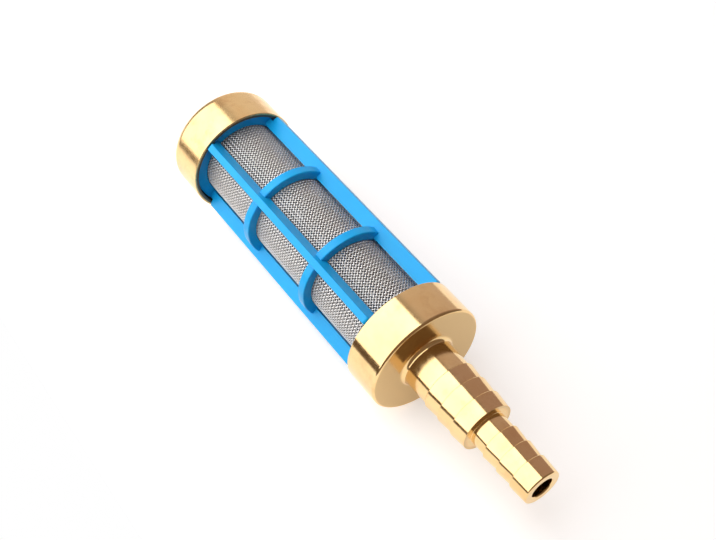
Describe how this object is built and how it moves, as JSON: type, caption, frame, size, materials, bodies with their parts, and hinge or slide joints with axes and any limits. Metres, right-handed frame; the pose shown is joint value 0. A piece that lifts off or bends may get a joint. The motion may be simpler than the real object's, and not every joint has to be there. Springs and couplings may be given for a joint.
{
  "type": "hose suction strainer",
  "caption": "Strainer for a hose end: brass end cap, blue plastic cage round a tube of fine steel mesh, and a turned brass outlet with a stepped hose barb.",
  "frame": {"origin": "centre of the end cap's outer end face, on the axis", "axes": "+Z along the axis from the end cap to the barb's tip; the cage's ribs lie at 45 degrees to +X and +Y"},
  "size_m": [0.025, 0.025, 0.1083],
  "materials": {
    "brass": "polished",
    "blue_plastic": "satin moulded",
    "steel_mesh": "woven wire",
    "rubber": "matt"
  },
  "bodies": {
    "cage": {"cage": "blue_plastic", "mesh_sleeve": "steel_mesh"},
    "cap_gasket": {"cap_gasket": "rubber"},
    "end_cap": {"end_cap": "brass"},
    "outlet_gasket": {"outlet_gasket": "rubber"},
    "outlet_fitting": {"outlet_fitting": "brass"}
  },
  "joints": [
    {"name": "end_cap_travel", "type": "slide", "parent": "cage", "child": "cap_gasket", "axis": [0, 0, -1], "range_m": [0, 0.00625]},
    {"name": "end_cap_turn", "type": "hinge", "parent": "cap_gasket", "child": "end_cap", "pos_m": [0, 0, 0.005], "axis": [0, 0, -1], "range_deg": [0, 1805]},
    {"name": "outlet_travel", "type": "slide", "parent": "cage", "child": "outlet_gasket", "axis": [0, 0, 1], "range_m": [0, 0.005]},
    {"name": "outlet_turn", "type": "hinge", "parent": "outlet_gasket", "child": "outlet_fitting", "pos_m": [0, 0, 0.071], "axis": [0, 0, 1], "range_deg": [0, 1445]}
  ],
  "couplings": [
    {"joint": "end_cap_turn", "follows": "end_cap_travel", "rad_per_m": 5026.5},
    {"joint": "outlet_turn", "follows": "outlet_travel", "rad_per_m": 5026.5}
  ]
}
